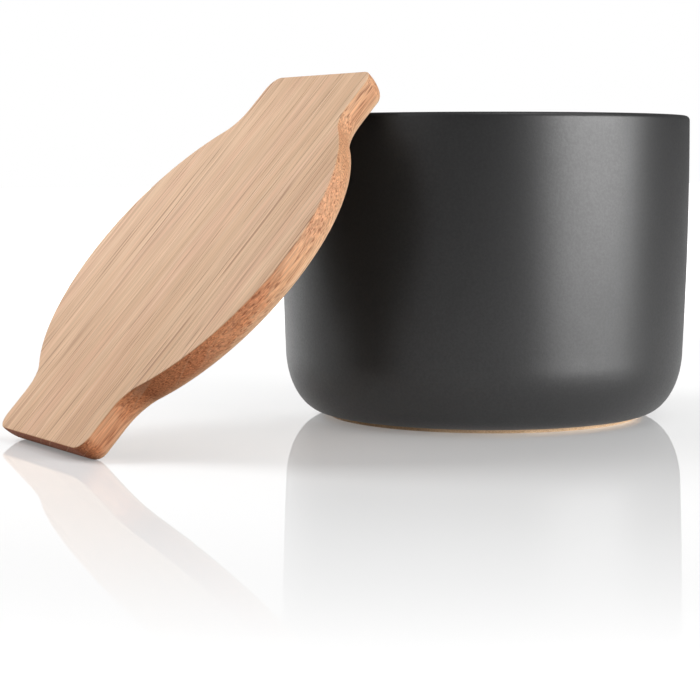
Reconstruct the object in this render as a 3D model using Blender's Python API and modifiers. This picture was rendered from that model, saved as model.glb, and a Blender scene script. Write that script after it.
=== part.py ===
"""Salt cellar: a turned stoneware pot and a loose oak lid.

The lid is stored off the pot: its lower tab stands on the table and the groove
under its upper tab bears on the pot's rim. X runs along the lean, Z is up, and
the origin lies on the table under the middle of the whole object's box.
"""
import math

import bmesh
import bpy
from mathutils import Vector

# Pot
RIM_RADIUS = 0.052
POT_HEIGHT = 0.0763
WALL = 0.0052
RIM_ROUND = 0.0019
WALL_DRAFT = 0.00125        # how much narrower the wall is above the bottom corner than at the rim
WALL_BULGE = 0.0002         # how far the wall swells out between the corner and the rim
CORNER_IN = 0.0107          # bottom corner, an upright quarter oval
CORNER_RISE = 0.0177
FOOT_RADIUS = 0.0402
FOOT_RISE = 0.0006          # bare clay under the edge of the glaze
FOOT_EDGE = 0.0003
FOOT_WIDTH = 0.0038
FOOT_RECESS = 0.0012
FLOOR = 0.0052
INSIDE_CORNER = 0.012

# Lid
LID_THICKNESS = 0.0069
DISC_PLAY = 0.0005          # between the lid's disc and the inside of the mouth
TAB_OVERHANG = 0.004        # how far each tab reaches past the rim
TAB_WIDTH = 0.0462
TAB_CORNER = 0.0039
TAB_FILLET = 0.0093         # hollow curve between a tab and the disc
TOP_EASE = 0.0004           # crisp top edge
EDGE_LAND = 0.0005          # upright strip under the top edge, before the under edge rounds in
UNDER_ROUND = 0.0026        # how far the rounded under edge draws in
SEAT_DEPTH = 0.0019         # groove under each tab that sits on the rim
SEAT_PLAY = 0.00165         # how much wider the groove is than the wall, on each side

# How the lid leans
BEARING_GAP = 0.0003
BEARING_SHIFT = 0.0019      # the rim bears this far inside the middle of the groove
LEAN_OFFSET = 0.0025        # the lid stands this far to one side of the pot's middle
LEAN_RANGE = (0.1, 1.5)     # radians between which the lean is looked for
LEAN_ROUNDS = 40

# Smoothness
TURN_STEPS = 80
WALL_STEPS = 6
CORNER_STEPS = 8
RIM_STEPS = 4
UNDER_STEPS = 6
TAB_STEPS = 6
DISC_STEPS = 30
SEAT_STEPS = 96
SEAT_ROUND_STEPS = 32
MERGE = 0.00001

# Worked out from the sizes above
SEAT_RADIUS = RIM_RADIUS - WALL / 2
SEAT_WIDTH = WALL + 2 * SEAT_PLAY
SEAT_ROUND = (SEAT_WIDTH ** 2 / 4 + SEAT_DEPTH ** 2) / (2 * SEAT_DEPTH)
DISC_RADIUS = RIM_RADIUS - WALL - DISC_PLAY
LID_REACH = RIM_RADIUS + TAB_OVERHANG
UNDER_RISE = LID_THICKNESS - EDGE_LAND


def clear_scene():
    for item in list(bpy.data.objects):
        bpy.data.objects.remove(item, do_unlink=True)


def new_collection(name):
    collection = bpy.data.collections.new(name)
    bpy.context.scene.collection.children.link(collection)
    return collection


def make_material(name, colour, roughness):
    material = bpy.data.materials.new(name)
    material.use_nodes = True
    shader = material.node_tree.nodes["Principled BSDF"]
    shader.inputs["Base Color"].default_value = (*colour, 1.0)
    shader.inputs["Roughness"].default_value = roughness
    shader.inputs["Metallic"].default_value = 0.0
    material.diffuse_color = (*colour, 1.0)
    return material


def oval(middle, wide, high, start, end, steps):
    """Points along an oval's arc, angles in degrees from +X towards +Z."""
    points = []
    for step in range(steps + 1):
        angle = math.radians(start + (end - start) * step / steps)
        points.append((middle[0] + wide * math.cos(angle), middle[1] + high * math.sin(angle)))
    return points


def wall_points():
    """The outer wall from just under the rim's round down to the bottom corner."""
    top = POT_HEIGHT - RIM_ROUND
    low = FOOT_RISE + CORNER_RISE
    points = []
    for step in range(1, WALL_STEPS):
        share = step / WALL_STEPS
        bulge = 4 * WALL_BULGE * share * (1 - share)
        points.append((RIM_RADIUS - WALL_DRAFT * share + bulge, top + (low - top) * share))
    return points


def pot_profile():
    """The pot's section, from the middle of its inside floor up, over the rim and down to the foot."""
    floor = FOOT_RECESS + FLOOR
    low_radius = RIM_RADIUS - WALL_DRAFT
    inside_radius = low_radius - WALL
    rim_height = POT_HEIGHT - RIM_ROUND
    corner_middle = (low_radius - CORNER_IN, FOOT_RISE + CORNER_RISE)
    foot_turn = -math.degrees(math.acos((FOOT_RADIUS - corner_middle[0]) / CORNER_IN))
    foot_inner = FOOT_RADIUS - FOOT_WIDTH
    points = [(0.0, floor)]
    points += oval((inside_radius - INSIDE_CORNER, floor + INSIDE_CORNER), INSIDE_CORNER, INSIDE_CORNER,
                   -90, 0, CORNER_STEPS)
    points += oval((RIM_RADIUS - WALL + RIM_ROUND, rim_height), RIM_ROUND, RIM_ROUND, 180, 90, RIM_STEPS)
    points += oval((RIM_RADIUS - RIM_ROUND, rim_height), RIM_ROUND, RIM_ROUND, 90, 0, RIM_STEPS)
    points += wall_points()
    points += oval(corner_middle, CORNER_IN, CORNER_RISE, 0, foot_turn, CORNER_STEPS)
    points += [(FOOT_RADIUS - FOOT_EDGE, 0.0)]
    points += [(foot_inner, 0.0)]
    points += [(foot_inner - FOOT_RECESS, FOOT_RECESS)]
    points += [(0.0, FOOT_RECESS)]
    return points


def turned_object(name, profile, material, collection):
    """A profile at +X turned about Z; its outer side runs down, so the faces point out."""
    mesh = bpy.data.meshes.new(name)
    points = [(radius, 0.0, height) for radius, height in profile]
    edges = [(index, index + 1) for index in range(len(points) - 1)]
    mesh.from_pydata(points, edges, [])
    item = bpy.data.objects.new(name, mesh)
    collection.objects.link(item)
    screw = item.modifiers.new("Turn", "SCREW")
    screw.axis = "Z"
    screw.angle = math.tau
    screw.steps = TURN_STEPS
    screw.render_steps = TURN_STEPS
    screw.use_merge_vertices = True
    screw.merge_threshold = MERGE
    screw.use_smooth_shade = True
    mesh.materials.append(material)
    return item


def lid_quarter():
    """A quarter of the lid's outline: half of a tab's end, its side, the hollow curve and half the disc."""
    half_width = TAB_WIDTH / 2
    end = LID_REACH - TAB_CORNER
    hollow_side = half_width + TAB_FILLET
    hollow_along = math.sqrt((DISC_RADIUS + TAB_FILLET) ** 2 - hollow_side ** 2)
    turn = math.degrees(math.atan2(hollow_side, hollow_along))
    points = oval((end, half_width - TAB_CORNER), TAB_CORNER, TAB_CORNER, 0, 90, TAB_STEPS)
    points += oval((hollow_along, hollow_side), TAB_FILLET, TAB_FILLET, -90, turn - 180, TAB_STEPS)
    points += oval((0.0, 0.0), DISC_RADIUS, DISC_RADIUS, turn, 90, DISC_STEPS)[1:]
    return points


def lid_outline():
    """The whole outline, counter-clockwise from the middle of the upper tab's side."""
    quarter = lid_quarter()
    half = quarter + [(-along, across) for along, across in reversed(quarter[:-1])]
    return half + [(along, -across) for along, across in reversed(half)]


def draw_in(bm, face, inward, down):
    """Draws a flat face in by one amount all round and moves it along Z by another."""
    bmesh.ops.inset_region(bm, faces=[face], thickness=inward, use_even_offset=True, use_boundary=True)
    bmesh.ops.translate(bm, verts=face.verts, vec=(0.0, 0.0, down))


def lid_mesh(name):
    """A board with a crisp top edge at Z 0 and an under edge that rounds in like a quarter oval."""
    bm = bmesh.new()
    corners = [bm.verts.new((along, across, -TOP_EASE)) for along, across in lid_outline()]
    top = bm.faces.new(corners)
    extruded = bmesh.ops.extrude_face_region(bm, geom=[top])
    under = [item for item in extruded["geom"] if isinstance(item, bmesh.types.BMFace)][0]
    bmesh.ops.translate(bm, verts=under.verts, vec=(0.0, 0.0, TOP_EASE - EDGE_LAND))
    bmesh.ops.recalc_face_normals(bm, faces=bm.faces)
    draw_in(bm, top, TOP_EASE, TOP_EASE)
    for step in range(UNDER_STEPS):
        before = math.pi / 2 * step / UNDER_STEPS
        after = math.pi / 2 * (step + 1) / UNDER_STEPS
        inward = UNDER_ROUND * (math.cos(before) - math.cos(after))
        down = UNDER_RISE * (math.sin(before) - math.sin(after))
        draw_in(bm, under, inward, down)
    bmesh.ops.recalc_face_normals(bm, faces=bm.faces)
    mesh = bpy.data.meshes.new(name)
    bm.to_mesh(mesh)
    bm.free()
    return mesh


def section_height(lean):
    """Height of the top face's middle when the rounded end of the lower tab stands on the table."""
    end = (LID_REACH - UNDER_ROUND) * math.sin(lean)
    land = EDGE_LAND * math.cos(lean)
    rounded = math.hypot(UNDER_ROUND * math.sin(lean), UNDER_RISE * math.cos(lean))
    return end + land + rounded


def bearing_place():
    """Where the middle of the rim's round lies, along the lid and below its top face."""
    along = SEAT_RADIUS - BEARING_SHIFT
    reach = SEAT_ROUND - RIM_ROUND - BEARING_GAP
    groove_middle = LID_THICKNESS - SEAT_DEPTH + SEAT_ROUND
    return along, groove_middle - math.sqrt(reach ** 2 - BEARING_SHIFT ** 2)


def lean_pose():
    """The lean that puts the lower tab on the table and the groove on the rim, found by halving."""
    along, below = bearing_place()
    rim_height = POT_HEIGHT - RIM_ROUND
    low, high = LEAN_RANGE
    for _ in range(LEAN_ROUNDS):
        lean = (low + high) / 2
        height = section_height(lean) + along * math.sin(lean) - below * math.cos(lean)
        if height < rim_height:
            low = lean
        else:
            high = lean
    place_x = RIM_ROUND - RIM_RADIUS - along * math.cos(lean) - below * math.sin(lean)
    return lean, Vector((place_x, -LEAN_OFFSET, section_height(lean)))


def make_pot(collection):
    glaze = make_material("matte black stoneware", (0.028, 0.028, 0.030), 0.55)
    return turned_object("pot", pot_profile(), glaze, collection)


def seat_cutter(collection):
    """The ring that cuts the groove across both tabs, in the lid's own frame."""
    depth = LID_THICKNESS - SEAT_DEPTH + SEAT_ROUND
    bpy.ops.mesh.primitive_torus_add(major_radius=SEAT_RADIUS, minor_radius=SEAT_ROUND,
                                     major_segments=SEAT_STEPS, minor_segments=SEAT_ROUND_STEPS)
    cutter = bpy.context.object
    cutter.name = "rim_groove_cutter"
    cutter.data.transform(cutter.matrix_world.inverted())
    cutter.location = (0.0, 0.0, -depth)
    for owner in list(cutter.users_collection):
        owner.objects.unlink(cutter)
    collection.objects.link(cutter)
    cutter.hide_render = True
    cutter.display_type = "WIRE"
    return cutter


def make_lid(collection, cutters):
    oak = make_material("oiled oak", (0.62, 0.42, 0.27), 0.5)
    lid = bpy.data.objects.new("lid", lid_mesh("lid"))
    collection.objects.link(lid)
    lid.data.materials.append(oak)
    lid.data.shade_smooth()
    lid.data.set_sharp_from_angle(angle=math.radians(40))
    cutter = seat_cutter(cutters)
    cutter.parent = lid
    groove = lid.modifiers.new("Rim groove", "BOOLEAN")
    groove.operation = "DIFFERENCE"
    groove.solver = "EXACT"
    groove.object = cutter
    lean, place = lean_pose()
    lid.location = place
    lid.rotation_euler = (0.0, -lean, 0.0)
    return lid


def box_middle(items):
    """Middle of the items' box along X and Y, from their finished meshes."""
    bpy.context.view_layer.update()
    graph = bpy.context.evaluated_depsgraph_get()
    corners = []
    for item in items:
        ready = item.evaluated_get(graph)
        corners += [item.matrix_world @ vertex.co for vertex in ready.data.vertices]
    middle_x = (min(corner.x for corner in corners) + max(corner.x for corner in corners)) / 2
    middle_y = (min(corner.y for corner in corners) + max(corner.y for corner in corners)) / 2
    return Vector((middle_x, middle_y, 0.0))


def main():
    clear_scene()
    parts = new_collection("salt_cellar")
    cutters = new_collection("cutters")
    pot = make_pot(parts)
    lid = make_lid(parts, cutters)
    origin = bpy.data.objects.new("salt_cellar", None)
    parts.objects.link(origin)
    middle = box_middle([pot, lid])
    pot.parent = origin
    lid.parent = origin
    origin.location = -middle
    lean, place = lean_pose()
    print("pot axis at x", round(-middle.x, 5), "y", round(-middle.y, 5))
    print("lid middle", [round(value, 5) for value in place - middle], "lean", round(math.degrees(lean), 2))


main()
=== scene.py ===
# %% [markdown]
# # A salt cellar in stoneware and oak
# The object is a squat, round pot with a matt charcoal glaze and a loose oak lid with
# two tabs. The lid is off the pot here: one tab stands on the table and the other hooks
# over the rim. The plain solids are loaded first. The pot's rim and height and the lid's
# lean are read from them, and the finer surfaces are then made in their place.

# %% Load the frame
import math

import bmesh
import bpy
from mathutils import Matrix, Vector


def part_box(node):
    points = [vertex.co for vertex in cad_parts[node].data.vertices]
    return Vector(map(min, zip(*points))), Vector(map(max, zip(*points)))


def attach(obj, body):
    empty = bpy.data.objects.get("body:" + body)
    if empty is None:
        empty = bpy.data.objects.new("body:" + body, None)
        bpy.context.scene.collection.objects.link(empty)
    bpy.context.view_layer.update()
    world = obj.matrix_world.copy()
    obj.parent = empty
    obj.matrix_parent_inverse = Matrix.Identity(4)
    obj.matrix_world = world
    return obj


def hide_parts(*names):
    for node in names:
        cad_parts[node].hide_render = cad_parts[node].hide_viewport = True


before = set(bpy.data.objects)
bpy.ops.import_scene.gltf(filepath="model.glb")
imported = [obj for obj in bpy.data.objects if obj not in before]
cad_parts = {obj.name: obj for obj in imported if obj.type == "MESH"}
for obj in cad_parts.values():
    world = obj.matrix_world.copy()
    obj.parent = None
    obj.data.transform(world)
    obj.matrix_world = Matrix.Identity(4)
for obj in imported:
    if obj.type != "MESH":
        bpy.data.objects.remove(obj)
MM = 0.001
scene = bpy.context.scene
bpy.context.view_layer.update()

# %% [markdown]
# ## The camera
# A long lens from half a metre away, a little above the table, keeps the pot's sides
# almost upright. The pot's own axis is the anchor: the camera is swung round it by one
# angle, and two small turns then aim the lens to the left of the axis and down. Placing
# it by angles is easier to reason about than by three free coordinates.

# %% Camera
VIEW_TURN = 0.6283
CAMERA_DISTANCE = 0.50973
CAMERA_HEIGHT = 0.06487
CAMERA_PITCH = 0.0953
CAMERA_YAW = 0.0675
LENS = 101.49
SENSOR = 36.0
pot_low, pot_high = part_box("pot")
pot_axis = Vector(((pot_low.x + pot_high.x) / 2, (pot_low.y + pot_high.y) / 2, 0.0))
backward = Vector((math.sin(VIEW_TURN), math.cos(VIEW_TURN), 0.0))
rightward = Vector((math.cos(VIEW_TURN), -math.sin(VIEW_TURN), 0.0))


def studio_place(right, back, up):
    """A place as the camera sees it, in metres from the foot of the pot's axis."""
    return pot_axis + right * rightward + back * backward + Vector((0.0, 0.0, up))


camera_data = bpy.data.cameras.new("camera")
camera_data.lens = LENS
camera_data.sensor_width = SENSOR
camera = bpy.data.objects.new("camera", camera_data)
scene.collection.objects.link(camera)
camera.location = studio_place(0.0, -CAMERA_DISTANCE, CAMERA_HEIGHT)
camera.rotation_euler = (math.pi / 2 - CAMERA_PITCH, 0.0, CAMERA_YAW - VIEW_TURN)
scene.camera = camera
print("camera at", [round(value, 4) for value in camera.location])

# %% [markdown]
# ## Outlines from spins
# Both pieces are drawn from round stretches. Blender's spin turns one vertex round a
# middle and leaves the edges of an arc behind, so an outline is a chain of spins and
# straight edges. That is shorter than a list of points and stays true at any fineness.

# %% Outline helpers
UPWARD = (0.0, 0.0, 1.0)
STILL = (0.0, 0.0, 0.0)
QUARTER = 90


def line_to(bm, start, place):
    """A straight edge from a vertex to a new one."""
    end = bm.verts.new(place)
    bm.edges.new((start, end))
    return end


def turn_about(bm, items, middle, axis, angle, steps, closed=False):
    """Spins vertices or edges round a middle. A closed spin is welded to its start."""
    return bmesh.ops.spin(bm, geom=items, cent=middle, axis=axis, dvec=STILL, angle=angle,
                          steps=steps, use_merge=closed, use_normal_flip=False,
                          use_duplicate=False)["geom_last"]


def arc_from(bm, start, middle, axis, degrees, steps):
    """Spins a vertex round a middle and returns the new vertices in order."""
    known = set(bm.verts)
    turn_about(bm, [start], middle, axis, math.radians(degrees), steps)
    return [vert for vert in bm.verts if vert not in known]


def bowed_line(bm, start, end, swell, steps):
    """A shallow arc in the XZ plane. Its radius follows from its chord and its swell."""
    chord = Vector(end) - start.co
    radius = chord.length ** 2 / (8 * swell) + swell / 2
    across = Vector((chord.z, 0.0, -chord.x)).normalized()
    middle = start.co + chord / 2 + across * (radius - swell)
    sweep = 2 * math.degrees(math.asin(chord.length / 2 / radius))
    return arc_from(bm, start, middle, (0.0, 1.0, 0.0), sweep, steps)


# %% [markdown]
# ## The pot's section
# A potter checks a pot with a template, a section that turns round the wheel's axis. This
# one starts in the middle of the inside floor, climbs the inside wall, goes over the rim
# and down the outside, and ends under the foot. The rim is rounder inside, where fingers
# pass, and tighter outside. The wall draws in on its way down and swells very slightly.

# %% Pot sizes
WALL = 5.2 * MM
RIM_INSIDE = 1.9 * MM
RIM_OUTSIDE = 1.2 * MM
RIM_TUCK = 0.13 * MM
WALL_DRAFT = 1.25 * MM
WALL_SWELL = 0.42 * MM
WALL_FULLNESS = 0.2 * MM
CORNER_IN = 10.2 * MM
CORNER_RISE = 16.4 * MM
GLAZE_END = 40.9 * MM
FOOT_RADIUS = 39.9 * MM
FOOT_RISE = 0.95 * MM
FOOT_WIDTH = 3.5 * MM
FOOT_RECESS = 1.2 * MM
FLOOR = 5.2 * MM
INSIDE_CORNER = 12 * MM
RIM_RADIUS = (pot_high.x - pot_low.x) / 2
POT_HEIGHT = pot_high.z
LOW_RADIUS = RIM_RADIUS - WALL_DRAFT
print("rim radius", round(RIM_RADIUS / MM, 2), "height", round(POT_HEIGHT / MM, 2), "mm")

# %% [markdown]
# ## Inside, rim and outside
# Each stretch of the section is a helper that starts at the last vertex of the one before
# and hands on its own. The outside's bottom corner is an upright oval: it is spun as a
# round arc, and the new vertices are then stretched upwards about the arc's middle.

# %% Pot section
TOWARDS_Z = (0.0, -1.0, 0.0)
INSIDE_STEPS = 16
RIM_STEPS = 10
OUTSIDE_STEPS = 24


def inside_section(bm):
    """From the middle of the inside floor up to the inner side of the rim."""
    floor = FOOT_RECESS + FLOOR
    corner = LOW_RADIUS - WALL - INSIDE_CORNER
    start = bm.verts.new((0.0, 0.0, floor))
    turn = line_to(bm, start, (corner, 0.0, floor))
    middle = (corner, 0.0, floor + INSIDE_CORNER)
    turn = arc_from(bm, turn, middle, TOWARDS_Z, QUARTER, INSIDE_STEPS)[-1]
    return line_to(bm, turn, (RIM_RADIUS - WALL, 0.0, POT_HEIGHT - RIM_INSIDE))


def rim_section(bm, turn):
    """Over the rim: a quarter round on both sides of a narrow flat crown."""
    inner = (RIM_RADIUS - WALL + RIM_INSIDE, 0.0, POT_HEIGHT - RIM_INSIDE)
    outer = (RIM_RADIUS - RIM_TUCK - RIM_OUTSIDE, 0.0, POT_HEIGHT - RIM_OUTSIDE)
    turn = arc_from(bm, turn, inner, TOWARDS_Z, -QUARTER, RIM_STEPS)[-1]
    turn = line_to(bm, turn, (outer[0], 0.0, POT_HEIGHT))
    return arc_from(bm, turn, outer, TOWARDS_Z, -QUARTER, RIM_STEPS)[-1]


def outside_section(bm, turn):
    """Down the bowed wall and round the oval corner to the edge of the glaze."""
    low_radius = LOW_RADIUS + WALL_FULLNESS
    middle = Vector((low_radius - CORNER_IN, 0.0, FOOT_RISE + CORNER_RISE))
    turn = bowed_line(bm, turn, (low_radius, 0.0, middle.z), WALL_SWELL, OUTSIDE_STEPS)[-1]
    sweep = math.degrees(math.acos((GLAZE_END - middle.x) / CORNER_IN))
    corner = arc_from(bm, turn, middle, TOWARDS_Z, -sweep, OUTSIDE_STEPS)
    bmesh.ops.scale(bm, verts=corner, vec=(1.0, 1.0, CORNER_RISE / CORNER_IN),
                    space=Matrix.Translation(-middle))
    return corner[-1]


# %% [markdown]
# ## The foot
# Glaze would stick the pot to the kiln shelf, so the potter wipes it off the foot before
# firing. The glaze ends in a thin lip, and the bare clay ring under it is set back by
# a millimetre. Inside the ring the bottom is recessed, so that only the ring touches a
# table. The ring's outer corner is eased, as a wet sponge leaves it.

# %% Foot section
GLAZE_LIP = 0.12 * MM
LIP_STEPS = 3


def foot_section(bm, turn):
    """Round the lip of the glaze, down the clay ring and across the recess to the axis."""
    lip = turn.co + Vector((0.0, 0.0, -GLAZE_LIP))
    ring_inner = FOOT_RADIUS - FOOT_WIDTH
    turn = arc_from(bm, turn, lip, TOWARDS_Z, QUARTER, LIP_STEPS)[-1]
    turn = line_to(bm, turn, (FOOT_RADIUS, 0.0, FOOT_RISE - 2 * GLAZE_LIP))
    turn = line_to(bm, turn, (FOOT_RADIUS, 0.0, GLAZE_LIP))
    turn = line_to(bm, turn, (FOOT_RADIUS - GLAZE_LIP, 0.0, 0.0))
    turn = line_to(bm, turn, (ring_inner, 0.0, 0.0))
    turn = line_to(bm, turn, (ring_inner - FOOT_RECESS, 0.0, FOOT_RECESS))
    line_to(bm, turn, (0.0, 0.0, FOOT_RECESS))


# %% [markdown]
# ## Turning the pot
# The whole section is one open chain of edges from the axis back to the axis. A full spin
# closes it into a pot, and merging doubles joins the seam and the two poles. A turned mesh
# can come out inside out, so its normals are worked out again before it is used.

# %% Turn the pot
WHEEL_STEPS = 256
WELD = 0.01 * MM
pot_bm = bmesh.new()
foot_section(pot_bm, outside_section(pot_bm, rim_section(pot_bm, inside_section(pot_bm))))
turn_about(pot_bm, pot_bm.verts[:] + pot_bm.edges[:], STILL, UPWARD, math.tau, WHEEL_STEPS, closed=True)
bmesh.ops.remove_doubles(pot_bm, verts=pot_bm.verts[:], dist=WELD)
bmesh.ops.recalc_face_normals(pot_bm, faces=pot_bm.faces[:])
for face in pot_bm.faces:
    face.smooth = True
    face.material_index = 1 if face.calc_center_median().z < FOOT_RISE else 0
bmesh.ops.translate(pot_bm, verts=pot_bm.verts[:], vec=pot_axis)
print("pot faces", len(pot_bm.faces), "of which clay", sum(face.material_index for face in pot_bm.faces))

# %% [markdown]
# ## Helpers for materials
# A node tree is easier to read as sums than as a list of nodes and wires. These helpers
# add a node, set what is a plain value and wire what is a socket, so that the materials
# below can be written from the inside out.

# %% Node helpers
def add(tree, kind, inputs=None, **settings):
    """Adds a node. Settings are its own properties, inputs are values or links for its sockets."""
    item = tree.nodes.new(kind)
    for name, value in settings.items():
        setattr(item, name, value)
    for name, value in (inputs or {}).items():
        if isinstance(value, bpy.types.NodeSocket):
            tree.links.new(value, item.inputs[name])
        else:
            item.inputs[name].default_value = value
    return item


def calc(tree, operation, *values):
    """A sum on sockets or numbers."""
    return add(tree, "ShaderNodeMath", dict(enumerate(values)), operation=operation).outputs[0]


def product(tree, first, *others):
    """Several values multiplied."""
    for other in others:
        first = calc(tree, "MULTIPLY", first, other)
    return first


def remap(tree, value, low, high, out_low=0.0, out_high=1.0):
    """Maps one range to another, with soft ends and no overshoot."""
    sockets = {0: value, 1: low, 2: high, 3: out_low, 4: out_high}
    return add(tree, "ShaderNodeMapRange", sockets, interpolation_type="SMOOTHSTEP").outputs[0]


# %% [markdown]
# ## Helpers for places and noise
# Patterns are sums on places. Plain noise turns a place into a value round one half. More
# detail adds finer waves, and more roughness makes the fine waves stronger.

# %% Place and noise helpers
SMOOTH_DETAIL = 1.0
SOME_DETAIL = 2.0
PLAIN_ROUGH = 0.5
NOISE_MIDDLE = 0.5


def vector_calc(tree, operation, *values):
    """A sum on vectors."""
    return add(tree, "ShaderNodeVectorMath", dict(enumerate(values)), operation=operation).outputs


def parts_of(tree, vector):
    """The three parts of a vector."""
    return add(tree, "ShaderNodeSeparateXYZ", {0: vector}).outputs


def noise(tree, vector, scale, detail=SOME_DETAIL, rough=PLAIN_ROUGH):
    """Plain noise, with a scale in waves for each unit of its vector."""
    sockets = {"Vector": vector, "Scale": scale, "Detail": detail, "Roughness": rough}
    return add(tree, "ShaderNodeTexNoise", sockets).outputs["Fac"]


# %% [markdown]
# ## Helpers for colours
# Two ways of laying one colour over another are enough here. A blend covers the ground, as
# paint does, and a tint multiplies it, as a stain does and lets the grain show through.

# %% Colour helpers
WHITE = (1.0, 1.0, 1.0)


def solid(colour):
    """A colour with its alpha."""
    return (*colour, 1.0)


def blend(tree, share, first, second):
    """Mixes two colours."""
    return add(tree, "ShaderNodeMix", {0: share, 6: first, 7: second}, data_type="RGBA").outputs[2]


def tinted(tree, first, second):
    """Multiplies two colours."""
    sockets = {0: 1.0, 6: first, 7: second}
    return add(tree, "ShaderNodeMix", sockets, data_type="RGBA", blend_type="MULTIPLY").outputs[2]


def grey_of(tree, value):
    """A socket's value as a grey colour."""
    return add(tree, "ShaderNodeCombineColor", {0: value, 1: value, 2: value}).outputs[0]


# %% [markdown]
# ## Places in millimetres
# A pattern that follows a real surface is easiest to set in real sizes. Object coordinates
# are in metres, and a Mapping node of the Texture kind moves them to a piece's own middle,
# turns them with it and makes one unit one millimetre.

# %% Millimetre coordinates
def millimetres(tree, middle, lean=0.0):
    """Object coordinates from a middle, turned about Y, in millimetres."""
    place = add(tree, "ShaderNodeTexCoord").outputs["Object"]
    sockets = {"Vector": place, "Location": middle, "Rotation": (0.0, -lean, 0.0), "Scale": (MM, MM, MM)}
    return add(tree, "ShaderNodeMapping", sockets, vector_type="TEXTURE").outputs[0]


def new_material(name):
    """An empty material with its tree and its shader."""
    material = bpy.data.materials.new(name)
    material.use_nodes = True
    return material, material.node_tree, material.node_tree.nodes["Principled BSDF"]


def raise_bump(tree, shader, height, strength, distance):
    """Feeds a height to a shader's normal."""
    bump = add(tree, "ShaderNodeBump", {"Height": height, "Strength": strength, "Distance": distance})
    tree.links.new(bump.outputs[0], shader.inputs["Normal"])


# %% [markdown]
# ## Fired grit, shared by glaze and clay
# Stoneware is full of fine grit. It shows through the matt glaze as an orange-peel skin
# with a faint speckle, and on the bare foot as sand. Both finishes use the same effect at
# their own fineness, so it is one node group. It puts out a tone for colour and roughness
# and a height for bump. A large, weak cloud in the tone keeps it from looking printed.

# %% Fired grit group
CLOUD_SCALE = 0.09
CLOUD_SHARE = 0.3
GRIT_DETAIL = 3.0
SPECK_ROUGH = 0.6
GRIT_RANGE = (0.3, 0.7)


def make_grit_group():
    """The group with its two inputs and two outputs."""
    group = bpy.data.node_groups.new("fired grit", "ShaderNodeTree")
    group.interface.new_socket(name="Place", in_out="INPUT", socket_type="NodeSocketVector")
    group.interface.new_socket(name="Fineness", in_out="INPUT", socket_type="NodeSocketFloat")
    group.interface.new_socket(name="Tone", in_out="OUTPUT", socket_type="NodeSocketFloat")
    group.interface.new_socket(name="Height", in_out="OUTPUT", socket_type="NodeSocketFloat")
    entry = add(group, "NodeGroupInput").outputs
    speck = noise(group, entry["Place"], entry["Fineness"], GRIT_DETAIL, SPECK_ROUGH)
    cloud = noise(group, entry["Place"], CLOUD_SCALE, GRIT_DETAIL)
    swing = calc(group, "SUBTRACT", cloud, NOISE_MIDDLE)
    mixed = calc(group, "ADD", speck, calc(group, "MULTIPLY", swing, CLOUD_SHARE))
    add(group, "NodeGroupOutput", {"Tone": remap(group, mixed, *GRIT_RANGE), "Height": speck})
    return group


grit_group = make_grit_group()
print("grit group has", len(grit_group.nodes), "nodes")


def grit_at(tree, fineness):
    """The grit group in a material of the pot, at a fineness."""
    grit = add(tree, "ShaderNodeGroup", node_tree=grit_group)
    tree.links.new(millimetres(tree, pot_axis), grit.inputs["Place"])
    grit.inputs["Fineness"].default_value = fineness
    return grit.outputs


# %% [markdown]
# ## The matt charcoal glaze
# The glaze is nearly black, and a matt glaze still mirrors a window as a broad, soft band.
# A middling roughness on a dark base gives that band. The grit tilts the skin by a hair,
# so the band breaks up into a fine grain instead of looking like plastic.

# %% Glaze
GLAZE_DEEP = (0.0125, 0.0125, 0.0130)
GLAZE_PALE = (0.0190, 0.0190, 0.0195)
GLAZE_FINENESS = 1.7
GLAZE_ROUGH = (0.42, 0.37)
GLAZE_IOR = 1.58
GLAZE_BUMP = 0.4
GLAZE_PEEL = 0.035 * MM


def make_glaze():
    """The glaze: two near blacks, a middling roughness and a fine skin."""
    material, tree, shader = new_material("matt charcoal glaze")
    grit = grit_at(tree, GLAZE_FINENESS)
    base = blend(tree, grit["Tone"], solid(GLAZE_DEEP), solid(GLAZE_PALE))
    tree.links.new(base, shader.inputs["Base Color"])
    tree.links.new(remap(tree, grit["Tone"], 0.0, 1.0, *GLAZE_ROUGH), shader.inputs["Roughness"])
    shader.inputs["IOR"].default_value = GLAZE_IOR
    raise_bump(tree, shader, grit["Height"], GLAZE_BUMP, GLAZE_PEEL)
    return material


# %% [markdown]
# ## The bare clay
# The foot shows the fired clay itself, a warm sandy buff. It is dry, so it is almost fully
# rough, and its sand stands out more than the grit under the glaze.

# %% Clay
CLAY_DEEP = (0.58, 0.39, 0.23)
CLAY_PALE = (0.84, 0.63, 0.42)
CLAY_FINENESS = 3.5
CLAY_ROUGH = 0.85
CLAY_BUMP = 0.6
CLAY_SAND = 0.05 * MM


def make_clay():
    """The bare clay: two buffs, nearly fully rough, with sand."""
    material, tree, shader = new_material("bare clay")
    grit = grit_at(tree, CLAY_FINENESS)
    base = blend(tree, grit["Tone"], solid(CLAY_DEEP), solid(CLAY_PALE))
    tree.links.new(base, shader.inputs["Base Color"])
    shader.inputs["Roughness"].default_value = CLAY_ROUGH
    raise_bump(tree, shader, grit["Height"], CLAY_BUMP, CLAY_SAND)
    return material


# %% [markdown]
# ## From mesh to piece
# A finished piece is an object at the origin with its place in its mesh. It rides on a body
# of the model, takes a material slot, and stands in for the plain solid of the same piece.
# Creases sharper than a given angle are marked, so that smooth shading stops there.

# %% Make the pot
POT_CREASE = 40


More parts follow.
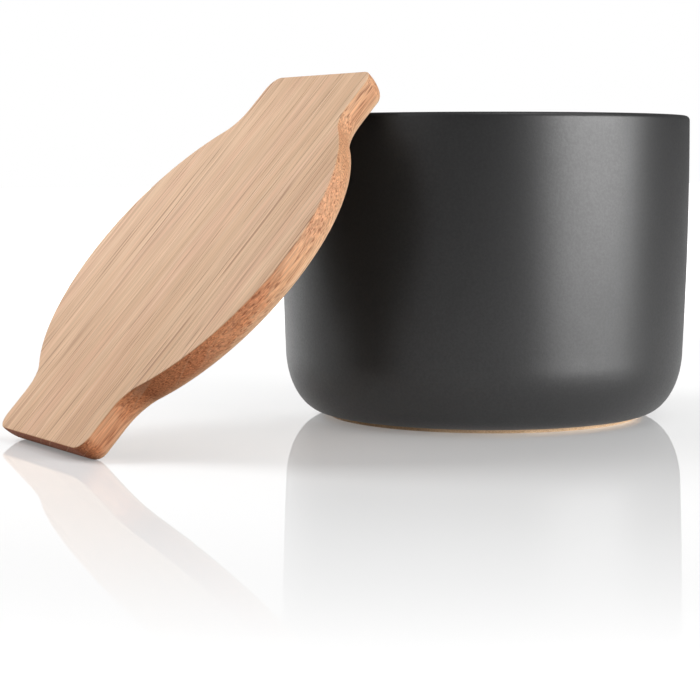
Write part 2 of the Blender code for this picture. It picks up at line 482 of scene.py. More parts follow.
def finish_piece(name, mesh, node, materials, crease):
    """Turns a mesh into a piece that rides on the body of a node and replaces its solid."""
    for material in materials:
        mesh.materials.append(material)
    mesh.set_sharp_from_angle(angle=math.radians(crease))
    piece = bpy.data.objects.new(name, mesh)
    scene.collection.objects.link(piece)
    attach(piece, node)
    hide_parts(node)
    print(name, len(mesh.vertices), "vertices", len(mesh.polygons), "faces")


pot_mesh = bpy.data.meshes.new("stoneware_pot")
pot_bm.to_mesh(pot_mesh)
pot_bm.free()
finish_piece("stoneware_pot", pot_mesh, "pot", [make_glaze(), make_clay()], POT_CREASE)

# %% [markdown]
# ## Where the lid leans
# The lid is modelled flat, with its top at height zero and its tabs along X, and then laid
# on the leaning solid. The solid's largest flat face is its top, so the normal of that face
# gives the lean and its middle gives the place. Reading them keeps the two in step.

# %% Lid place
NORMAL_DIGITS = 3


def flat_face(node):
    """Normal and middle of the largest flat face of a node."""
    groups = {}
    for face in node.data.polygons:
        key = tuple(round(value, NORMAL_DIGITS) for value in face.normal)
        groups.setdefault(key, []).append(face)
    faces = max(groups.values(), key=lambda group: sum(face.area for face in group))
    area = sum(face.area for face in faces)
    middle = sum((face.center * face.area for face in faces), Vector()) / area
    normal = sum((face.normal * face.area for face in faces), Vector()).normalized()
    return normal, middle


lid_up, lid_middle = flat_face(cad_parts["lid"])
lid_lean = math.atan2(-lid_up.x, lid_up.z)
lid_place = Matrix.Translation(lid_middle) @ Matrix.Rotation(-lid_lean, 4, "Y")
print("lid middle in mm", [round(value / MM, 2) for value in lid_middle])
print("lid lean in degrees", round(math.degrees(lid_lean), 2))

# %% [markdown]
# ## The lid's outline
# The lid is one oak board: a disc that drops into the mouth, with two tabs that rest on the
# rim. Its outline has two planes of symmetry, so a quarter is drawn with two lines and
# three arcs: the corner of a tab, the hollow beside it and the disc. Two mirrors and one
# fill make the face.

# %% Lid outline
DISC_PLAY = 0.5 * MM
TAB_OVERHANG = 3.86 * MM
TAB_WIDTH = 46.2 * MM
TAB_CORNER = 3.9 * MM
TAB_FILLET = 9.3 * MM
TAB_STEPS = 10
FILLET_STEPS = 16
DISC_STEPS = 60
DISC_RADIUS = RIM_RADIUS - WALL - DISC_PLAY
LID_REACH = RIM_RADIUS + TAB_OVERHANG
print("disc radius", round(DISC_RADIUS / MM, 2), "reach to a tab's end", round(LID_REACH / MM, 2), "mm")


def lid_quarter(bm):
    """The outline from the middle of a tab's end to the side of the disc."""
    half = TAB_WIDTH / 2
    corner_along = LID_REACH - TAB_CORNER
    hollow_side = half + TAB_FILLET
    hollow_along = math.sqrt((DISC_RADIUS + TAB_FILLET) ** 2 - hollow_side ** 2)
    turn = math.degrees(math.atan2(hollow_side, hollow_along))
    vert = bm.verts.new((LID_REACH, 0.0, 0.0))
    vert = line_to(bm, vert, (LID_REACH, half - TAB_CORNER, 0.0))
    corner = (corner_along, half - TAB_CORNER, 0.0)
    vert = arc_from(bm, vert, corner, UPWARD, QUARTER, TAB_STEPS)[-1]
    vert = line_to(bm, vert, (hollow_along, half, 0.0))
    hollow = (hollow_along, hollow_side, 0.0)
    vert = arc_from(bm, vert, hollow, UPWARD, turn - QUARTER, FILLET_STEPS)[-1]
    arc_from(bm, vert, STILL, UPWARD, QUARTER - turn, DISC_STEPS)


def lid_outline(bm):
    """Mirrors the quarter twice and fills it with one face."""
    lid_quarter(bm)
    for axis in ("X", "Y"):
        bmesh.ops.mirror(bm, geom=bm.verts[:] + bm.edges[:], matrix=Matrix.Identity(4),
                         merge_dist=WELD, axis=axis)
    bmesh.ops.remove_doubles(bm, verts=bm.verts[:], dist=WELD)
    return bmesh.ops.edgeloop_fill(bm, edges=bm.edges[:])["faces"][0]


# %% [markdown]
# ## The lid's edges
# The top is sanded by a tenth of a millimetre and its edge stays crisp, with only the
# sharpness taken off, while the under edge is rounded over with a router. Both edges come
# from insets: the face is drawn in and moved along in small steps that follow a quarter of
# an oval, which leaves clean loops round the whole outline.

# %% Lid board
LID_THICKNESS = 6.9 * MM
TOP_EASE = 0.25 * MM
TOP_SANDING = 0.12 * MM
EDGE_LAND = 0.5 * MM
UNDER_ROUND = 2.6 * MM
EASE_STEPS = 4
UNDER_STEPS = 14


def draw_in(bm, face, inward, along):
    """Insets a face and moves it along Z."""
    bmesh.ops.inset_region(bm, faces=[face], thickness=inward, use_even_offset=True, use_boundary=True)
    bmesh.ops.translate(bm, verts=face.verts, vec=(0.0, 0.0, along))


def round_face(bm, face, inward, along, steps):
    """Draws a face in by a quarter oval, in steps."""
    for step in range(steps):
        before = math.pi / 2 * step / steps
        after = math.pi / 2 * (step + 1) / steps
        sideways = inward * (math.cos(before) - math.cos(after))
        draw_in(bm, face, sideways, along * (math.sin(after) - math.sin(before)))


def lid_board():
    """The outline as a board with its edges worked."""
    bm = bmesh.new()
    top = lid_outline(bm)
    side_top = TOP_SANDING + TOP_EASE
    bmesh.ops.translate(bm, verts=bm.verts[:], vec=(0.0, 0.0, -side_top))
    extruded = bmesh.ops.extrude_face_region(bm, geom=[top])
    under = [item for item in extruded["geom"] if isinstance(item, bmesh.types.BMFace)][0]
    bmesh.ops.translate(bm, verts=under.verts, vec=(0.0, 0.0, side_top - EDGE_LAND))
    bmesh.ops.recalc_face_normals(bm, faces=bm.faces[:])
    round_face(bm, top, TOP_EASE, TOP_EASE, EASE_STEPS)
    round_face(bm, under, UNDER_ROUND, EDGE_LAND - LID_THICKNESS, UNDER_STEPS)
    bmesh.ops.recalc_face_normals(bm, faces=bm.faces[:])
    return bm


# %% [markdown]
# ## The groove cutter
# A shallow groove under each tab sits on the pot's rim and keeps the lid from sliding. A
# round-nosed cutter follows an arc of the rim and stops short of the tab's sides, so that
# no notch shows there. What such a cutter sweeps is a bent bar of round section with a
# ball at each end: a circle spun along the arc, and half of it spun once more at each end.

# %% Groove cutter
SEAT_DEPTH = 1.9 * MM
SEAT_PLAY = 1.65 * MM
SEAT_WIDTH = WALL + 2 * SEAT_PLAY
SEAT_RADIUS = RIM_RADIUS - WALL / 2
SEAT_REACH = TAB_WIDTH / 2 - UNDER_ROUND - SEAT_WIDTH / 2
SEAT_TURN = math.asin(SEAT_REACH / SEAT_RADIUS)
CUTTER_ROUND = (SEAT_WIDTH ** 2 / 4 + SEAT_DEPTH ** 2) / (2 * SEAT_DEPTH)
CUTTER_HEIGHT = SEAT_DEPTH - LID_THICKNESS - CUTTER_ROUND
CUTTER_SIDES = 64
CUTTER_STEPS = 48
BALL_STEPS = 24
print("cutter radius", round(CUTTER_ROUND / MM, 2), "mm")


def outer_edges(ring):
    """The edges of a ring of the cutter that lie outside the middle line of the seat."""
    return [edge for edge in ring if ((edge.verts[0].co + edge.verts[1].co) / 2).xy.length > SEAT_RADIUS]


def groove_cutter():
    """One cutter's sweep, and a copy of it turned by half a turn for the other tab."""
    bm = bmesh.new()
    start = Matrix.Rotation(-SEAT_TURN, 4, "Z") @ Matrix.Translation((SEAT_RADIUS, 0.0, CUTTER_HEIGHT))
    bmesh.ops.create_circle(bm, cap_ends=False, radius=CUTTER_ROUND, segments=CUTTER_SIDES,
                            matrix=start @ Matrix.Rotation(math.pi / 2, 4, "X"))
    first = bm.edges[:]
    swept = turn_about(bm, first, STILL, UPWARD, 2 * SEAT_TURN, CUTTER_STEPS)
    last = [item for item in swept if isinstance(item, bmesh.types.BMEdge)]
    for ring, side in ((first, -SEAT_TURN), (last, SEAT_TURN)):
        middle = Matrix.Rotation(side, 4, "Z") @ Vector((SEAT_RADIUS, 0.0, CUTTER_HEIGHT))
        turn_about(bm, outer_edges(ring), middle, UPWARD, math.copysign(math.pi, side), BALL_STEPS)
    bmesh.ops.remove_doubles(bm, verts=bm.verts[:], dist=WELD)
    copied = bmesh.ops.duplicate(bm, geom=bm.verts[:] + bm.edges[:] + bm.faces[:])["geom"]
    turned = [item for item in copied if isinstance(item, bmesh.types.BMVert)]
    bmesh.ops.rotate(bm, verts=turned, cent=STILL, matrix=Matrix.Rotation(math.pi, 3, "Z"))
    bmesh.ops.recalc_face_normals(bm, faces=bm.faces[:])
    print("groove cutter is closed:", all(edge.is_manifold for edge in bm.edges))
    return bm


# %% [markdown]
# ## Cutting the grooves
# A Boolean takes the cutter out of the board. It needs two objects for a moment, and the
# evaluated mesh is kept in their place. Where an edge of the cutter meets an edge of the
# board, a Boolean can leave two vertices in nearly one place, so the cut mesh is welded.
# The flat faces stay flat shaded, and everything that is rounded is smooth.

# %% Cut the grooves
FLAT = 0.9999


def weld(mesh):
    """Merges vertices that lie in nearly one place."""
    bm = bmesh.new()
    bm.from_mesh(mesh)
    before = len(bm.verts)
    bmesh.ops.remove_doubles(bm, verts=bm.verts[:], dist=WELD)
    print("welded", before - len(bm.verts), "vertices, closed:", all(edge.is_manifold for edge in bm.edges))
    bm.to_mesh(mesh)
    bm.free()


def carve(board, cutter):
    """Cuts one bmesh out of another with a Boolean modifier and returns the finished mesh."""
    items = []
    for name, bm in (("board", board), ("cutter", cutter)):
        mesh = bpy.data.meshes.new(name)
        bm.to_mesh(mesh)
        bm.free()
        item = bpy.data.objects.new(name, mesh)
        scene.collection.objects.link(item)
        items.append(item)
    cut = items[0].modifiers.new("Groove", "BOOLEAN")
    cut.operation = "DIFFERENCE"
    cut.object = items[1]
    graph = bpy.context.evaluated_depsgraph_get()
    carved = bpy.data.meshes.new_from_object(items[0].evaluated_get(graph))
    for item in items:
        bpy.data.objects.remove(item)
    weld(carved)
    return carved


lid_mesh = carve(lid_board(), groove_cutter())
lid_mesh.name = "oak_lid"
for face in lid_mesh.polygons:
    face.use_smooth = abs(face.normal.z) < FLAT
print("lid faces", len(lid_mesh.polygons))

# %% [markdown]
# ## Years and grain
# A board is a slice of a tree. If the heart of the tree lies beside the board, the rings of
# its years are cylinders round that heart, and each cut face shows them as it should: fine
# straight lines along the top, and bands that slant across the rounded sides. So the oak is
# not painted on: its colour depends on how far a point lies from the heart.

# %% Years of the oak
TREE_HEART = (0.0, 130.0, -70.0)
ACROSS = (0.0, 1.0, 1.0)
YEAR_WIDTH = 2.3
YEAR_WANDER = 5.0
YEAR_WANDER_SIZE = (80.0, 20.0)
RING_UNEVEN = 1.7
RING_UNEVEN_SCALE = 0.45


def grain_noise(tree, mm, size, detail=SOME_DETAIL, rough=PLAIN_ROUGH):
    """Noise in streaks of a length and a width in millimetres, along the board."""
    length, width = size
    scale = (1.0 / length, 1.0 / width, 1.0 / width)
    placed = add(tree, "ShaderNodeMapping", {"Vector": mm, "Scale": scale}).outputs[0]
    return noise(tree, placed, 1.0, detail, rough)


def heart_reach(tree, mm, wander, wander_size):
    """How far a point lies from the heart of the tree, with a slow wander."""
    from_heart = vector_calc(tree, "SUBTRACT", mm, TREE_HEART)[0]
    across = vector_calc(tree, "MULTIPLY", from_heart, ACROSS)[0]
    reach = vector_calc(tree, "LENGTH", across)["Value"]
    return calc(tree, "MULTIPLY_ADD", grain_noise(tree, mm, wander_size), wander, reach)


def rings(tree, reach, width):
    """How far through its ring a point is, from 0 to 1, and a random strength for each ring."""
    sockets = {"W": reach, "Scale": RING_UNEVEN_SCALE, "Detail": SMOOTH_DETAIL}
    uneven = add(tree, "ShaderNodeTexNoise", sockets, noise_dimensions="1D").outputs["Fac"]
    count = calc(tree, "MULTIPLY_ADD", uneven, RING_UNEVEN, calc(tree, "DIVIDE", reach, width))
    ring = calc(tree, "FLOOR", count)
    strength = add(tree, "ShaderNodeTexWhiteNoise", {"W": ring}, noise_dimensions="1D").outputs["Value"]
    return calc(tree, "FRACT", count), strength


# %% [markdown]
# ## Pores
# Oak opens wide pores each spring. On a long face they are cut lengthwise, so each year
# starts with a thin brown line of dashes. Years differ: some lines are dark and long, and
# others hardly show. A second, closer set of fine veins has its own rings. Where a side
# cuts the pores open, they are short dark dashes.

# %% Pores of the oak
LINE_SOLID = 0.6
PORE_SHARE = 0.19
PORE_DASH = (26.0, 1.2)
PORE_DASH_RANGE = (0.42, 0.56, 0.06, 1.0)
PORE_UNEVEN = 0.8
VEIN_SPACING = 1.05
VEIN_WANDER = 3.0
VEIN_WANDER_SIZE = (60.0, 9.0)
VEIN_SHARE = 0.25
VEIN_PATCH = (18.0, 1.0)
VEIN_PATCH_RANGE = (0.46, 0.58)
VEIN_UNEVEN = 1.2
CUT_PORE = (6.5, 0.38)
CUT_PORE_RANGE = (0.55, 0.68, 0.0, 0.8)


def ring_line(tree, through, share):
    """A line at the start of each ring, solid at first and then fading out."""
    return remap(tree, through, LINE_SOLID * share, share, 1.0, 0.0)


def pore_lines(tree, mm, through, strength):
    """The dashed line at the start of each year."""
    dashes = remap(tree, grain_noise(tree, mm, PORE_DASH, SMOOTH_DETAIL), *PORE_DASH_RANGE)
    weight = calc(tree, "POWER", strength, PORE_UNEVEN)
    return product(tree, ring_line(tree, through, PORE_SHARE), dashes, weight)


def fine_veins(tree, mm):
    """Thin, long lines that lie closer than the years, each with its own strength."""
    reach = heart_reach(tree, mm, VEIN_WANDER, VEIN_WANDER_SIZE)
    through, strength = rings(tree, reach, VEIN_SPACING)
    patches = remap(tree, grain_noise(tree, mm, VEIN_PATCH, SMOOTH_DETAIL), *VEIN_PATCH_RANGE)
    weight = calc(tree, "POWER", strength, VEIN_UNEVEN)
    return product(tree, ring_line(tree, through, VEIN_SHARE), patches, weight)


def cut_pores(tree, mm):
    """Short dark dashes where a side cuts the pores open."""
    return remap(tree, grain_noise(tree, mm, CUT_PORE, SMOOTH_DETAIL), *CUT_PORE_RANGE)


# %% [markdown]
# ## Sides and end grain
# Where the sides of the disc turn towards the tabs, the cut runs across the grain, and the
# wood drinks more oil there. A material can't ask a surface which way the board's grain
# runs. So two attributes, stored for each corner of each face, say how far a place is side
# and how far it is end grain.

# %% Side attributes
EASED = 0.25
SIDE_FULL = 0.75


def mark_sides(mesh):
    """Stores for each corner how far it is side wood and how far it is end grain."""
    side = mesh.attributes.new("side_wood", "FLOAT", "CORNER")
    end = mesh.attributes.new("end_wood", "FLOAT", "CORNER")
    for corner, normal in enumerate(mesh.corner_normals):
        turned = 1.0 - abs(normal.vector.z)
        side.data[corner].value = min(1.0, max(0.0, (turned - EASED) / (SIDE_FULL - EASED)))
        end.data[corner].value = abs(normal.vector.x)


# %% [markdown]
# ## Rays
# Oak has pale rays that run from the heart outwards, and they show where the cut crosses
# the grain. They are lines of one angle round the heart. The noise is read by angle and
# place along the board, and a line shows wherever it passes its middle value.

# %% Pale rays
RAY_TURNS = 30.0
RAY_LENGTH = 22.0
RAY_HALF = 0.018


def pale_rays(tree, mm):
    """Thin pale lines that point to the heart of the tree."""
    parts = parts_of(tree, vector_calc(tree, "SUBTRACT", mm, TREE_HEART)[0])
    angle = calc(tree, "ARCTAN2", parts["Y"], parts["Z"])
    along = calc(tree, "DIVIDE", parts["X"], RAY_LENGTH)
    turns = calc(tree, "MULTIPLY", angle, RAY_TURNS)
    place = add(tree, "ShaderNodeCombineXYZ", {0: along, 1: turns}).outputs[0]
    swing = calc(tree, "SUBTRACT", noise(tree, place, 1.0, SMOOTH_DETAIL), NOISE_MIDDLE)
    return remap(tree, calc(tree, "ABSOLUTE", swing), 0.0, RAY_HALF, 1.0, 0.0)


# %% [markdown]
# ## The ground of the oak
# The colour is built up as the eye reads the board: a warm ground with broad streaks, a
# faint blush of pink, thin pale glints and fine fibres, and a painted shade that darkens
# the board towards the low tab, where the lamp's light falls off. The streaks, blush, glints
# and fibres are noise in streaks, each with its own length and width. On the sides the
# streaks are shorter and stronger, because the fibres are cut there instead of laid bare.

# %% Oak ground
OAK_DEEP = (0.680, 0.430, 0.262)
OAK_PALE = (0.755, 0.505, 0.322)
OAK_BLUSH = (0.715, 0.435, 0.280)
SUMMER_PALE = (0.880, 0.670, 0.470)
# painted shade: the tint and range below darken the board towards the low tab, where the lamp's light falls
# off
LOW_END_SHADE_TINT = (0.895, 0.845, 0.79)
LOW_END_SHADE_RANGE = (-55.0, 10.0, 1.0, 0.0)
STREAK = (90.0, 6.0)
STREAK_RANGE = (0.34, 0.66)
BLUSH = (60.0, 11.0)
BLUSH_RANGE = (0.42, 0.66, 0.0, 0.7)
GLINT = (34.0, 0.9)
GLINT_RANGE = (0.56, 0.74, 0.0, 0.26)
FIBRE = (18.0, 0.48)
FIBRE_ROUGH = 0.6
FIBRE_SHADE = (0.28, 0.72, 0.88, 1.11)
CUT_FIBRE = (9.0, 0.34)
CUT_FIBRE_SHADE = (0.30, 0.70, 0.74, 1.24)


def oak_ground(tree, mm, side):
    """The ground colour with its streaks, blush, painted shade at the low end, glints and fibres, and the
    fibres by themselves.
    """
    streak = remap(tree, grain_noise(tree, mm, STREAK, SMOOTH_DETAIL), *STREAK_RANGE)
    blush = remap(tree, grain_noise(tree, mm, BLUSH), *BLUSH_RANGE)
    glint = remap(tree, grain_noise(tree, mm, GLINT, SMOOTH_DETAIL), *GLINT_RANGE)
    # painted shade: 1 towards the low tab, where the lamp's light falls off, 0 towards the high one
    low = remap(tree, parts_of(tree, mm)["X"], *LOW_END_SHADE_RANGE)
    base = blend(tree, streak, solid(OAK_DEEP), solid(OAK_PALE))
    base = blend(tree, blush, base, solid(OAK_BLUSH))
    # painted shade: the ground is tinted darker towards the low tab
    base = tinted(tree, base, blend(tree, low, solid(WHITE), solid(LOW_END_SHADE_TINT)))
    base = blend(tree, glint, base, solid(SUMMER_PALE))
    fibre = grain_noise(tree, mm, FIBRE, SOME_DETAIL, FIBRE_ROUGH)
    cut = remap(tree, grain_noise(tree, mm, CUT_FIBRE, SOME_DETAIL, FIBRE_ROUGH), *CUT_FIBRE_SHADE)
    cut = calc(tree, "MULTIPLY_ADD", calc(tree, "SUBTRACT", cut, 1.0), side, 1.0)
    shade = calc(tree, "MULTIPLY", remap(tree, fibre, *FIBRE_SHADE), cut)
    return tinted(tree, base, grey_of(tree, shade)), fibre


# %% [markdown]
# ## Springs, summers and pores
# Each year starts a little darker and ends in a pale summer line. The pores go over both in
# brown, and show less on the sides, where the short dashes of the cut pores take over.

# %% Year colours
SPRING_BROWN = (0.50, 0.27, 0.15)
SPRING_SHOW = 0.06
SPRING_END = 0.5
SUMMER_RANGE = (0.70, 0.98)
SUMMER_SHOW = 0.22
PORE_BROWN = (0.29, 0.118, 0.056)
PORE_SHOW = 0.95
PORE_ON_SIDE = 0.2
PORE_ON_TOP = 0.7


def oak_years(tree, base, through, strength):
    """Lays the springs and the summers over the ground."""
    spring = product(tree, remap(tree, through, 0.0, SPRING_END, 1.0, 0.0), SPRING_SHOW)
    summer = product(tree, remap(tree, through, *SUMMER_RANGE), product(tree, strength, SUMMER_SHOW))
    base = blend(tree, spring, base, solid(SPRING_BROWN))
    return blend(tree, summer, base, solid(SUMMER_PALE))


def oak_pores(tree, mm, side, through, strength):
    """All the pores and veins, from 0 to 1."""
    lines = calc(tree, "MAXIMUM", pore_lines(tree, mm, through, strength), fine_veins(tree, mm))
    top = calc(tree, "SUBTRACT", 1.0, side)
    lines = product(tree, lines, calc(tree, "MULTIPLY_ADD", top, PORE_ON_TOP, PORE_ON_SIDE))
    return calc(tree, "MAXIMUM", lines, product(tree, cut_pores(tree, mm), side))


# %% [markdown]
# ## The sides' tints
# The sides take a redder tint than the top. On the lower half of the board, where a side
# is cut across the grain, it is darker and browner, with a ragged border: just below the top
# edge at the middle of the disc, and all the way down near the low tab. The ends of the tabs
# are darkened once more.

# %% Side tints
SIDE_TINT = (0.82, 0.665, 0.560)
END_TINT = (0.76, 0.43, 0.285)
TAB_END_TINT = (0.80, 0.66, 0.62)
TAB_END_POWER = 6.0
BROWN_SLANT = 0.155
BROWN_RAGS = (9.0, 0.9)
BROWN_RAGGED = 6.0
BROWN_DEPTH = 5.1
BROWN_SOFT = 1.0
BROWN_ALONG = (-10.0, 6.0, 1.0, 0.0)
BROWN_POWER = 0.3


def browning(tree, mm, side, end):
    """How far a side is made darker and browner: along the top edge, and lower down towards the low tab."""
    parts = parts_of(tree, mm)
    depth = calc(tree, "SUBTRACT", calc(tree, "MULTIPLY", parts["X"], BROWN_SLANT), parts["Z"])
    ragged = calc(tree, "MULTIPLY_ADD", grain_noise(tree, mm, BROWN_RAGS), BROWN_RAGGED, depth)
    band = remap(tree, ragged, BROWN_DEPTH - BROWN_SOFT, BROWN_DEPTH + BROWN_SOFT, 1.0, 0.0)
    low = remap(tree, parts["X"], *BROWN_ALONG)
    cut = product(tree, side, calc(tree, "POWER", end, BROWN_POWER))
    return product(tree, cut, product(tree, band, low))


def side_tint(tree, side, end, brown):
    """The tint of a place on the board: none on top, red on the sides, brown on the ends."""
    tint = blend(tree, side, solid(WHITE), solid(SIDE_TINT))
    tint = blend(tree, brown, tint, solid(END_TINT))
    darker = tinted(tree, tint, solid(TAB_END_TINT))
    return blend(tree, calc(tree, "POWER", end, TAB_END_POWER), tint, darker)


# %% [markdown]
# ## What the glaze sees
# The side of the lid that faces the pot lies in deep shade. The rays that the rough glaze
# scatters would still find the oak bright and warm, and lay a brown veil over the pot. So
# those rays, and no others, see the oak darker and cooler. A mirror's rays see it as it is.

# %% Seen by the glaze
GLAZE_SEES = (0.22, 0.29, 0.36)


def seen_by_glaze(tree, base):
    """The base colour, darkened for rays that a rough gloss scattered."""
    path = add(tree, "ShaderNodeLightPath").outputs
    rough_ray = calc(tree, "SUBTRACT", path["Is Glossy Ray"], path["Is Singular Ray"])
    return blend(tree, rough_ray, base, tinted(tree, base, solid(GLAZE_SEES)))


# %% [markdown]
# ## The oiled oak
# The layers come together here: ground, years, pores, tints and rays. Oil leaves the wood
# satin, so the roughness stays high and only the fibres vary it. The bump sinks the pores
# and lifts the fibres, both by less than a sheet of paper's thickness.

# %% Oak
RAY_PALE = (0.60, 0.34, 0.20)
RAY_SHOW = 0.6
OAK_ROUGH = (0.2, 0.8, 0.70, 0.60)
OAK_SPECULAR = 0.35
FIBRE_LIFT = 0.3
OAK_BUMP = 0.2
PORE_DEPTH = 0.05 * MM


def make_oak():
    """The oak: its layers of colour from the ground up, then its roughness and its bump."""
    material, tree, shader = new_material("oiled oak")
    mm = millimetres(tree, lid_middle, lid_lean)
    side = add(tree, "ShaderNodeAttribute", attribute_name="side_wood").outputs["Fac"]
    end = add(tree, "ShaderNodeAttribute", attribute_name="end_wood").outputs["Fac"]
    through, strength = rings(tree, heart_reach(tree, mm, YEAR_WANDER, YEAR_WANDER_SIZE), YEAR_WIDTH)
    base, fibre = oak_ground(tree, mm, side)
    base = oak_years(tree, base, through, strength)
    pores = oak_pores(tree, mm, side, through, strength)
    base = blend(tree, product(tree, pores, PORE_SHOW), base, solid(PORE_BROWN))
    brown = browning(tree, mm, side, end)
    base = tinted(tree, base, side_tint(tree, side, end, brown))
    rays = product(tree, pale_rays(tree, mm), product(tree, end, brown))
    base = blend(tree, product(tree, rays, RAY_SHOW), base, solid(RAY_PALE))
    tree.links.new(seen_by_glaze(tree, base), shader.inputs["Base Color"])
    tree.links.new(remap(tree, fibre, *OAK_ROUGH), shader.inputs["Roughness"])
    shader.inputs["Specular IOR Level"].default_value = OAK_SPECULAR
    height = calc(tree, "SUBTRACT", product(tree, fibre, FIBRE_LIFT), pores)
    raise_bump(tree, shader, height, OAK_BUMP, PORE_DEPTH)
    return material


# %% [markdown]
# ## Laying the lid
# The marks on the corners are stored while the board still lies flat, because its grain
# runs along X only there. Then the mesh takes its lean and its place, and the object itself
# stays at the origin.

# %% Make the lid
LID_CREASE = 35
finish_piece("oak_lid", lid_mesh, "lid", [make_oak()], LID_CREASE)
mark_sides(lid_mesh)
lid_mesh.transform(lid_place)
print("low tab reaches down to", round(min(vert.co.z for vert in lid_mesh.vertices) / MM, 3), "mm")

# %% [markdown]
# ## Rays that see sharply
# Floor and world look one way to the camera and another to the light. Light Path tells the
# rays apart: those of the camera, of a perfect mirror and of clear glass show things as
# they are, and all others only carry light from one surface to the next.

# %% Ray helpers
def sharp_ray(tree):
    """1 for rays that show things as they are: the camera's, a mirror's and clear glass's."""
    path = add(tree, "ShaderNodeLightPath").outputs
    bounced = calc(tree, "MAXIMUM", path["Is Singular Ray"], path["Is Transmission Ray"])
    return calc(tree, "MAXIMUM", path["Is Camera Ray"], bounced)


def floor_distance(tree, centre):
    """How far a place on the floor lies from a centre, in metres."""
    place = add(tree, "ShaderNodeTexCoord").outputs["Object"]
    return vector_calc(tree, "DISTANCE", place, centre)["Value"]


# %% [markdown]
# ## The floor's own tone
# The object stands on a pale table that keeps its soft shadow. Light that bounces off the
# table is dimmer away from the pot, as in a dark studio, and bright right under the foot,
# where it lights the bare clay.

# %% Floor tone
FLOOR_SEEN = 0.78
FLOOR_NEAR = 0.80
FLOOR_FAR = 0.35
FLOOR_FADE = (0.08, 0.45)
FLOOR_BOUNCE = 0.20
FOOT_BOUNCE = 0.85
FOOT_FADE = (0.05, 0.07)


def floor_tone(tree, away, seen):
    """The diffuse colour of the floor for each kind of ray."""
    scattered = add(tree, "ShaderNodeLightPath").outputs["Is Diffuse Ray"]
    tone = grey_of(tree, remap(tree, away, *FLOOR_FADE, FLOOR_NEAR, FLOOR_FAR))
    bounce = grey_of(tree, remap(tree, away, *FOOT_FADE, FOOT_BOUNCE, FLOOR_BOUNCE))
    tone = blend(tree, scattered, tone, bounce)
    return blend(tree, seen, tone, solid(3 * (FLOOR_SEEN,)))


# %% [markdown]
# ## The floor's polish
# A polished table mirrors most where it is seen at a flat angle. Fresnel gives that share.
# Seen from higher up the polish is faded out, because a sharp picture of the lamps would
# lie on the floor there.

# %% Floor polish
POLISH_IOR = 1.4
POLISH_POWER = 2.0
POLISH_GAIN = 2.0
POLISH_MOST = 0.48
POLISH_RANGE = (0.22, 0.38)


def floor_polish(tree, seen):
    """The share of the floor that is a mirror."""
    fresnel = add(tree, "ShaderNodeFresnel", {"IOR": POLISH_IOR}).outputs[0]
    share = product(tree, calc(tree, "POWER", fresnel, POLISH_POWER), POLISH_GAIN)
    share = calc(tree, "MINIMUM", share, POLISH_MOST)
    dull = product(tree, seen, remap(tree, fresnel, *POLISH_RANGE, 1.0, 0.0))
    return product(tree, share, calc(tree, "SUBTRACT", 1.0, dull))


# %% [markdown]
# ## The floor's lift
# A small glow lifts the floor to white with distance, so that no horizon shows. The rough
# glaze mirrors the floor too, and sees a second, weak glow in front of the pot only.

# %% Floor lift
FLOOR_LIFT = 0.17
LIFT_FADE = (0.20, 0.48)
MATT_LIFT = 0.25
MATT_FADE = (0.05, 0.20)
MATT_MIDDLE = studio_place(0.06, -0.10, 0.0)


def floor_lift(tree, away, seen):
    """The strength of the floor's glow."""
    glow = product(tree, seen, remap(tree, away, *LIFT_FADE, FLOOR_LIFT, 1.0))
    glossy = add(tree, "ShaderNodeLightPath").outputs["Is Glossy Ray"]
    front = floor_distance(tree, MATT_MIDDLE)
    near = product(tree, glossy, remap(tree, front, *MATT_FADE, MATT_LIFT, 0.0))
    return calc(tree, "MAXIMUM", glow, near)


# %% [markdown]
# ## The studio floor
# Tone, polish and lift make one material on one square, four metres to each side of the
# middle. It is stage and not part of the object.

# %% Floor
FLOOR_SIZE = 4.0


def make_floor_material():
    """A diffuse floor with a mirror laid over it by share, plus a glow."""
    material = bpy.data.materials.new("pale studio floor")
    material.use_nodes = True
    tree = material.node_tree
    tree.nodes.clear()
    away = floor_distance(tree, pot_axis)
    seen = sharp_ray(tree)
    plain = add(tree, "ShaderNodeBsdfDiffuse", {"Color": floor_tone(tree, away, seen)})
    gloss = add(tree, "ShaderNodeBsdfGlossy", {"Color": solid(WHITE), "Roughness": 0.0})
    sockets = {0: floor_polish(tree, seen), 1: plain.outputs[0], 2: gloss.outputs[0]}
    body = add(tree, "ShaderNodeMixShader", sockets)
    lift = add(tree, "ShaderNodeEmission", {"Strength": floor_lift(tree, away, seen)})
    both = add(tree, "ShaderNodeAddShader", {0: body.outputs[0], 1: lift.outputs[0]})
    add(tree, "ShaderNodeOutputMaterial", {"Surface": both.outputs[0]})
    return material


floor_bm = bmesh.new()
bmesh.ops.create_grid(floor_bm, x_segments=1, y_segments=1, size=FLOOR_SIZE)
floor_mesh = bpy.data.meshes.new("floor")
floor_bm.to_mesh(floor_mesh)
floor_bm.free()
floor_mesh.materials.append(make_floor_material())
floor = bpy.data.objects.new("floor", floor_mesh)
scene.collection.objects.link(floor)
print("floor is", round(floor.dimensions.x, 1), "m wide")

# %% [markdown]
# ## The studio round it
# A photographer's studio is dark apart from its lamps, yet the picture's ground is white.
# Rays that see sharply find pure white. Rays that light the object, or that a rough glaze
# scatters, find a dim room. The room is brighter on the left, where the main lamp lights
# its wall.

# %% World
ROOM_WALL = 0.90
ROOM_DIM = 0.15
WALL_TURN = math.radians(75)
WALL_RANGE = (0.5, 1.0)


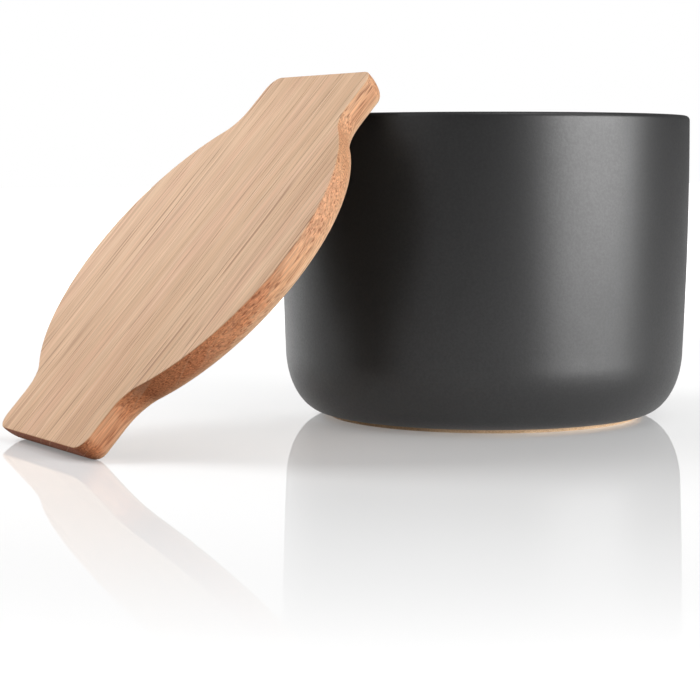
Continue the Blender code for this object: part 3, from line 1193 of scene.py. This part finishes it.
def make_world():
    """White for rays that see sharply and a dim room for all others."""
    world = bpy.data.worlds.new("studio")
    world.use_nodes = True
    scene.world = world
    tree = world.node_tree
    tree.nodes.clear()
    direction = add(tree, "ShaderNodeTexCoord").outputs["Generated"]
    wall = -math.cos(WALL_TURN) * backward - math.sin(WALL_TURN) * rightward
    to_wall = vector_calc(tree, "DOT_PRODUCT", direction, wall)["Value"]
    room = remap(tree, to_wall, *WALL_RANGE, ROOM_DIM, ROOM_WALL)
    strength = calc(tree, "MAXIMUM", sharp_ray(tree), room)
    back = add(tree, "ShaderNodeBackground", {"Color": solid(WHITE), "Strength": strength})
    add(tree, "ShaderNodeOutputWorld", {"Surface": back.outputs[0]})


make_world()

# %% [markdown]
# ## The softboxes
# Four flat lamps make the light. The large one high on the left lights the lid's top, and a
# weak one overhead lifts the shadows. The wide one on the right lights the sides and is
# what the glaze mirrors as a bright band, so its width sets the width of the band. The
# last, behind on the left, draws the pot's left edge. Each is placed as the camera sees it
# and aimed at the middle of the object.

# %% Softboxes
AIM_HEIGHT = 0.04
target = studio_place(0.0, 0.0, AIM_HEIGHT)


def make_softbox(name, place, width, height, power):
    """A rectangular lamp that faces the middle of the object."""
    data = bpy.data.lights.new(name, "AREA")
    data.shape = "RECTANGLE"
    data.size = width
    data.size_y = height
    data.energy = power
    item = bpy.data.objects.new(name, data)
    scene.collection.objects.link(item)
    item.location = place
    item.rotation_euler = (target - place).to_track_quat("-Z", "Y").to_euler()
    print(name, power, "W,", round((target - place).length, 2), "m away")


make_softbox("left_key", studio_place(-0.90, 0.10, 0.75), width=0.70, height=0.70, power=8.0)
make_softbox("top_soft", studio_place(0.28, -0.12, 0.80), width=0.60, height=0.60, power=1.6)
make_softbox("right_strip", studio_place(0.76, -0.42, 0.19), width=0.80, height=0.36, power=8.8)
make_softbox("left_back", studio_place(-0.75, 0.80, 0.36), width=0.90, height=0.70, power=3.1)

# %% [markdown]
# ## Finish
# The Standard view transform shows colours as they are written.

# %% Finish
scene.view_settings.view_transform = "Standard"
